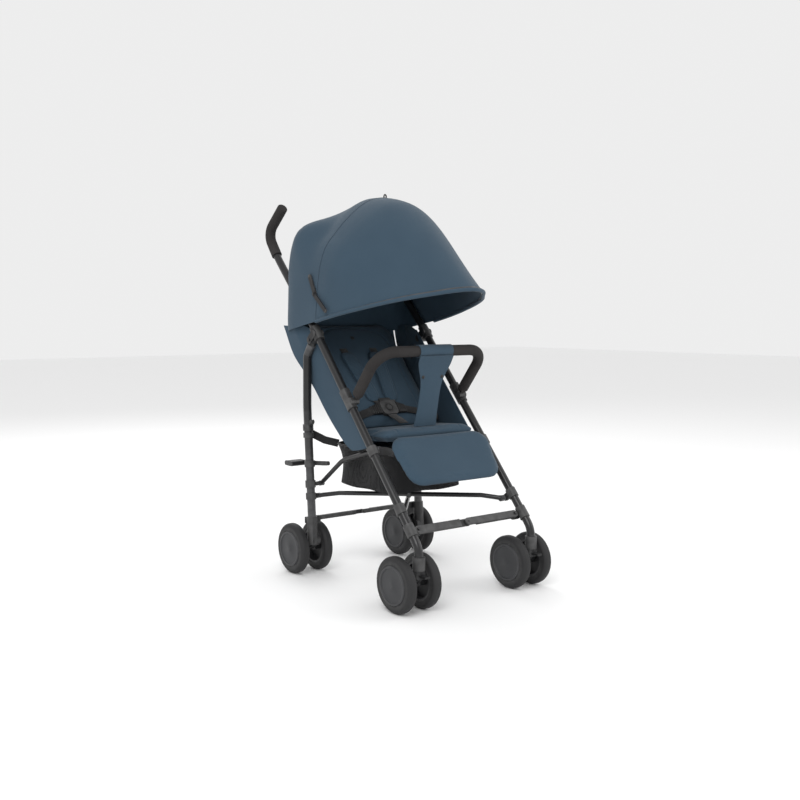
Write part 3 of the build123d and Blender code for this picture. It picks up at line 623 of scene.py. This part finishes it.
seat_place = plane_of(spot(0, -104, 436), (0, 162, -11), (0, 11, 162))
seat_cushion = pad("seat_cushion", seat_place, 334, 334, 166, 24, 22, seat_cloth, steps=44, power=4)
puffed(seat_cushion, 7)
sewn(seat_cushion, seat_place, [[(-110, 8), (-118, 160)], [(110, 8), (118, 160)]])
fold_with_frame(seat_cushion, "frame_left")
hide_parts("seat_pad")

calf_place = plane_of(spot(0, -226, 306), (0, 104, 127), (0, -127, 104))
calf_pad = pad("calf_cushion", calf_place, 330, 350, 163, 17, 52, seat_cloth, steps=48, power=5, dip=0.0)
puffed(calf_pad, 5, voxel=5.0)
fold_with_frame(calf_pad, "calf_rest")
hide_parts("calf_rest")

# ---- Side panels and back sling ----------------------------------------------------------------
# One layer of the cloth on each side, laced along the main tube, and the sling behind the back.
TUBE_WAY = (0.6561, 0.7547)
TUBE_BACK = (0.7547, -0.6561)
TUBE_TOP = (184.5, 711.0)       # side tube's axis, at its upper bracket
PANEL_X = 178.5                 # panels from the middle plane, and how far their tops flare
FLARE = 24.0
FLARE_FROM = 0.55
REAR_EDGE_Y = ((0.0, 22.0), (0.14, 58.0), (0.34, 134.0), (0.56, 205.0), (0.72, 256.0), (0.86, 300.0),
               (1.0, 334.0))
REAR_EDGE_Z = ((0.0, 378.0), (0.14, 396.0), (0.34, 460.0), (0.56, 533.0), (0.72, 584.0), (0.86, 630.0),
               (1.0, 700.0))


def panel_point(side, u, v):
    """Point of a side panel, from the tube at u = 0 to the rear edge at u = 1."""
    along, behind = -400 + v * 396, 14
    front_y = TUBE_TOP[0] + along * TUBE_WAY[0] + behind * TUBE_BACK[0]
    front_z = TUBE_TOP[1] + along * TUBE_WAY[1] + behind * TUBE_BACK[1]
    top_out = max(0.0, v - FLARE_FROM) / (1 - FLARE_FROM)
    belly = math.sin(math.pi * u)
    x = PANEL_X + FLARE * top_out ** 1.5 * min(1.0, u * 1.6) - 3.5 * belly * math.sin(math.pi * v)
    y = front_y + (between(REAR_EDGE_Y, v) - front_y) * u
    z = front_z + (between(REAR_EDGE_Z, v) - front_z) * u
    z += 14 * top_out ** 3 * min(1.0, u * 3) - 3 * belly * (1 - v)
    return spot(side * x, y, z)


def hem_piping(name, points, body, radius=1.6):
    """Folded hem or piping along an edge, which rides with its cloth."""
    edge = tube_along(name, points, radius, seat_cloth, 8)
    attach(edge, body)
    return edge


for side, sign in (("left", -1), ("right", 1)):
    panel = cloth_piece(f"side_cloth_{side}", 30, 60, lambda u, v: panel_point(sign, u, v), seat_cloth, 1.2)
    tidy_mesh(panel)
    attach(panel, f"frame_{side}")
    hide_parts(f"side_panel_{side}")
    front_edge = [panel_point(sign, 0, k / 40) for k in range(41)]
    rear_edge = [panel_point(sign, 1, k / 60) for k in range(61)]
    low_edge = [panel_point(sign, k / 30, 0) for k in range(31)]
    hem_piping(f"panel_front_hem_{side}", front_edge, f"frame_{side}", 2.0)
    hem_piping(f"panel_rear_hem_{side}", rear_edge, f"frame_{side}")
    hem_piping(f"panel_low_hem_{side}", low_edge, f"frame_{side}")


def sling_point(u, v):
    """Point of the sling behind the back, which hangs a little between the side panels."""
    half = PANEL_X - 2.5 + (FLARE - 2) * (max(0.0, v - FLARE_FROM) / (1 - FLARE_FROM)) ** 1.5
    sag = 5 * math.sin(math.pi * u) * math.sin(math.pi * min(v * 1.1, 1))
    y = between(REAR_EDGE_Y, v) + sag * 0.75
    z = between(REAR_EDGE_Z, v) - sag * 0.65
    return spot((2 * u - 1) * half, y, z)


sling = cloth_piece("back_sling", 50, 50, sling_point, seat_cloth, 1.2)
tidy_mesh(sling)
fold_with_frame(sling, "frame_left")

# ---- Harness --------------------------------------------------------------------------------------
# Five-point harness: black webbing through slots in the back, two sewn shoulder pads, and a
# buckle with a ribbed adjuster on each side.
def strap(name, points, width, thick, across, body, material):
    """Flat webbing along points. Across is the direction of its width."""
    corners, faces = [], []
    across = Vector(across).normalized()
    for k, p in enumerate(points):
        ahead = (points[min(k + 1, len(points) - 1)] - points[max(k - 1, 0)]).normalized()
        wide = (across - ahead * across.dot(ahead)).normalized() * width / 2000
        up = wide.cross(ahead).normalized() * thick / 2000
        corners += [p - wide - up, p + wide - up, p + wide + up, p - wide + up]
    for k in range(len(points) - 1):
        a, b = 4 * k, 4 * k + 4
        faces += [(a + i, a + (i + 1) % 4, b + (i + 1) % 4, b + i) for i in range(4)]
    last = 4 * (len(points) - 1)
    faces += [(3, 2, 1, 0), (last, last + 1, last + 2, last + 3)]
    piece = new_piece(name, corners, faces, material)
    soften = piece.modifiers.new("edge", "BEVEL")
    soften.width = thick / 5000
    soften.segments = 2
    apply_all(piece)
    tidy_mesh(piece, merge=0.00001, angle=40)
    fold_with_frame(piece, body)
    return piece


def on_back(x, t, lift):
    """Point on the back cushion: across, up from the seat hinge, and out of its face."""
    return spot(x, SEAT_HINGE[0], SEAT_HINGE[1]) + UP_BACK * t / 1000 + Vector(back_face) * lift / 1000


for side, sign in (("left", -1), ("right", 1)):
    low_end = on_back(sign * 30, 92, 12.0)
    way = on_back(sign * 52, 272, 12.0) - low_end
    long = way.length * 1000
    pad_place = plane_of(low_end, way, back_face)
    shoulder = pad(f"shoulder_pad_{side}", pad_place, 46, 50, long, 11, 18, seat_cloth, steps=30, power=4,
                   dip=0)
    stitches = [(-15, 14), (-17, long - 14), (17, long - 14), (15, 14), (-15, 14)]
    sewn(shoulder, pad_place, [stitches], depth=1.3, width=1.6)
    fold_with_frame(shoulder, "backrest")
    for name, line, width, thick, across, body in (
            ("shoulder_strap", ((30, 96, 5), (24, 84, 8), (15, 74, 10)), 22, 1.6, (1, 0, 0), "backrest"),
            ("shoulder_end", ((51, 264, 5), (54, 284, 4.5), (55, 292, 1)), 24, 1.6, (1, 0, 0), "backrest"),
            ("slot_binding", ((38, 292, 1.5), (55, 294, 1.8), (72, 292, 1.5)), 7, 1.2, UP_BACK, "backrest"),
            ("waist_strap", ((46, 60, 8), (90, 50, 6.5), (135, 34, 6), (165, 22, 5)), 24, 1.6, UP_BACK,
             "frame_left")):
        points = [on_back(sign * x, t, lift) for x, t, lift in line]
        strap(f"{name}_{side}", points, width, thick, across, body, black_webbing)
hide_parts("shoulder_pads")
crotch_line = [on_back(0, 44, 9), on_back(0, 30, 14), on_back(0, 16, 24), spot(0, 22, 441)]
strap("crotch_strap", crotch_line, 30, 1.8, (1, 0, 0), "frame_left", black_webbing)


def moulded_box(name, place, size, round_off, body, material=None, segments=3):
    """Rounded moulding on a plane, with its size in millimetres."""
    bpy.ops.mesh.primitive_cube_add(size=1)
    piece = bpy.context.object
    piece.name = name
    for vertex in piece.data.vertices:
        vertex.co = place @ Vector([c * s / 1000 for c, s in zip(vertex.co, size)])
    piece.location = (0, 0, 0)
    piece.data.materials.append(material or moulded_black)
    soften = piece.modifiers.new("edge", "BEVEL")
    soften.width = round_off / 1000
    soften.segments = segments
    apply_all(piece)
    tidy_mesh(piece, merge=0.00001, angle=40)
    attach(piece, body)
    return piece


for side, sign in (("left", -1), ("right", 1)):
    for k in range(5):
        rib = plane_of(on_back(sign * (33 + 6.2 * k), 62 - 0.9 * k, 9 - 0.3 * k), UP_BACK, back_face)
        moulded_box(f"adjuster_rib_{side}_{k + 1}", rib, (4.6, 36 - 2.2 * k, 12 - k), 1.6, "buckle")
    bar = plane_of(on_back(sign * 46, 60, 7), UP_BACK, back_face)
    moulded_box(f"adjuster_{side}", bar, (34, 24, 6), 2.2, "buckle")
RING_R, BUCKLE_UP = 11.5, 62.0
ring_line = [on_back(RING_R * math.cos(turn), BUCKLE_UP + RING_R * math.sin(turn), 15.2)
             for turn in (k * math.pi / 16 for k in range(32))]
ring = tube_along("buckle_ring", ring_line, 1.3, moulded_black, 8, closed=True)
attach(ring, "buckle")
top_tongue = plane_of(on_back(0, 90, 8), UP_BACK, back_face)
moulded_box("buckle_tongue", top_tongue, (40, 16, 9), 3.0, "buckle")
stud_place = plane_of(on_back(0, 330, 2.0), UP_BACK, back_face)
moulded_box("back_stud", stud_place, (12, 12, 4), 1.8, "backrest")

# ---- Bumper sleeve ----------------------------------------------------------------------------------
# Cloth sleeve buttoned round the middle of the bumper, with a strap between the child's legs.
BUMPER_AT = (-108.0, 648.0)
STRAP_END = (-68.0, 442.0)


def sleeve_point(u, v):
    """Point of the sleeve and the yoke under it: u across it, v from the top down to the strap."""
    half = 58 - 2 * math.sin(math.pi * min(v, 1))
    x = (2 * u - 1) * half
    turn = math.pi * 2 * v
    radius = 17.3 + 0.7 * math.sin(3 * math.pi * u) * math.sin(turn) ** 2
    return spot(x, BUMPER_AT[0] - radius * math.sin(turn), BUMPER_AT[1] + radius * math.cos(turn))


sleeve = cloth_piece("bumper_sleeve", 40, 48, sleeve_point, seat_cloth, 1.4, inward=True)
tidy_mesh(sleeve, merge=0.0001)
fold_with_frame(sleeve, "frame_left")
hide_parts("bumper_cover")
YOKE_WIDTHS = ((0.0, 57.0), (0.12, 55.0), (0.3, 41.0), (0.36, 37.0), (0.5, 34.0), (0.8, 35.0), (1.0, 38.0))


def yoke_point(face):
    """Yoke and strap in front of or behind each other, from the sleeve to the seat."""
    def place(u, v):
        half = between(YOKE_WIDTHS, v)
        y = BUMPER_AT[0] + (STRAP_END[0] - BUMPER_AT[0]) * v - 14 * (1 - v) ** 6
        z = BUMPER_AT[1] - 12 + (STRAP_END[1] - BUMPER_AT[1] + 12) * v
        bow = 2.5 * math.sin(math.pi * v) + 1.2 * math.cos(math.pi * (u - 0.5))
        return spot((2 * u - 1) * half, y - bow + face, z)
    return place


yoke = cloth_piece("bumper_strap", 24, 60, yoke_point(0), seat_cloth, 3.2)
tidy_mesh(yoke)
fold_with_frame(yoke, "frame_left")
for label, at_edge in (("left", 0.07), ("right", 0.93)):
    edge_line = [yoke_point(-1.8)(at_edge, 0.34 + 0.64 * k / 30) for k in range(31)]
    line = tube_along(f"strap_seam_{label}", edge_line, 0.5, piping_cloth, 6)
    fold_with_frame(line, "frame_left")
    stud_at = yoke_point(-3.6)(0.1 if label == "left" else 0.9, 0.3)
    bpy.ops.mesh.primitive_uv_sphere_add(segments=20, ring_count=10, radius=0.005)
    stud = bpy.context.object
    stud.name = f"snap_{label}"
    for vertex in stud.data.vertices:
        vertex.co = stud_at + Vector((vertex.co.x, vertex.co.y * 0.45, vertex.co.z))
    stud.location = (0, 0, 0)
    stud.data.materials.append(moulded_black)
    tidy_mesh(stud)
    fold_with_frame(stud, "frame_left")
fold_line = [yoke_point(-2.2)(0.02 + 0.96 * k / 20, 0.35) for k in range(21)]
yoke_fold = tube_along("yoke_fold", fold_line, 0.7, piping_cloth, 6)
fold_with_frame(yoke_fold, "frame_left")

# ---- Basket --------------------------------------------------------------------------------------------
# Bag of black mesh bound along its rim, hung by webbing from the legs and the main tubes.
mesh_cloth = cloth_finish("basket_mesh_cloth", (0.012, 0.012, 0.013), (0.022, 0.022, 0.023), threads=210.0,
                          sheen=0.1, bump=0.6)
mesh_tree = mesh_cloth.node_tree
holes = mesh_tree.nodes.new("ShaderNodeMapRange")
holes.inputs["From Min"].default_value = 0.35
holes.inputs["From Max"].default_value = 0.75
holes.inputs["To Min"].default_value = 0.55
holes.inputs["To Max"].default_value = 1.0
mesh_weave = next(n for n in mesh_tree.nodes if n.type == "GROUP")
mesh_tree.links.new(mesh_weave.outputs["Height"], holes.inputs["Value"])
mesh_tree.links.new(holes.outputs["Result"], mesh_tree.nodes["Principled BSDF"].inputs["Alpha"])
RIM_FRONT, RIM_BACK, RIM_Z, BASKET_FLOOR = -99.0, 185.0, 384.0, 266.0
BASKET_HALF = 138.0
WALL_SHARE = 0.55              # of the cloth's depth; the rest is the floor


def basket_point(turn, depth):
    """Point of the bag: turn round it from 0 to 1, depth from its rim to the middle of its floor."""
    angle = 2 * math.pi * turn
    c, s = math.cos(angle), math.sin(angle)
    reach = squarish(math.degrees(angle), 6.5)
    half_y = (RIM_BACK - RIM_FRONT) / 2
    mid_y = (RIM_BACK + RIM_FRONT) / 2
    wall = min(1.0, depth / WALL_SHARE)
    floor = max(0.0, (depth - WALL_SHARE) / (1 - WALL_SHARE))
    pull = 1 - 0.05 * wall - 0.035 * math.sin(math.pi * wall) * (1 + 0.6 * math.cos(8 * angle))
    pull *= 1 - floor
    drop = (RIM_Z - BASKET_FLOOR) * (wall - 0.06 * math.sin(math.pi * wall))
    sag = -7 * math.sin(math.pi / 2 * floor) + 1.6 * math.sin(6 * angle + 4 * floor) * (1 - floor) * wall
    rim_dip = -7 * (1 - wall) * abs(math.cos(angle)) ** 0.5 * abs(math.sin(2 * angle)) ** 0.5
    out = reach * pull
    return spot(c * out * BASKET_HALF, mid_y + s * out * half_y, RIM_Z - drop + sag + rim_dip)


basket = cloth_piece("basket_bag", 120, 40, basket_point, mesh_cloth, 0.8)
tidy_mesh(basket, merge=0.0003)
fold_with_frame(basket, "frame_left")
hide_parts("basket")
rim_line = [basket_point(k / 96, 0) for k in range(96)]
binding = tube_along("basket_binding", rim_line, 3.0, black_webbing, 10, closed=True)
fold_with_frame(binding, "frame_left")
for end, rim_y, hook_x, hook_y, hook_z in (("front", -92, 178, -103, 390), ("rear", 168, 186, 234, 410)):
    for side, sign in (("left", -1), ("right", 1)):
        hang = [spot(sign * 125, rim_y, 378), spot(sign * 150, (rim_y + hook_y) / 2, 386),
                spot(sign * hook_x, hook_y, hook_z)]
        strap(f"basket_strap_{end}_{side}", hang, 22, 1.6, (0, 0.4, 1), "frame_left", black_webbing)

# ---- Hood loop and front bow ---------------------------------------------------------------------
# Short loop of black webbing sewn in the top seam, and the sprung bow that holds the hem open.
apex = hood_point(84.0, 0.5)
loop_line = [apex + Vector((0.004 * math.sin(turn), 0, 0.003 - 0.006 * math.cos(turn)))
             for turn in (k * math.pi / 10 for k in range(21))]
loop = tube_along("canopy_loop", loop_line, 2.0, black_webbing, 8)
fold_with_frame(loop, "hood_middle")
bow_line = [hood_point(HEM_ANGLE + 1.2, k / 80) for k in range(81)]
front_bow = tube_along("front_bow", bow_line, 2.6, frame_paint, 10)
fold_with_frame(front_bow, "hood_front")
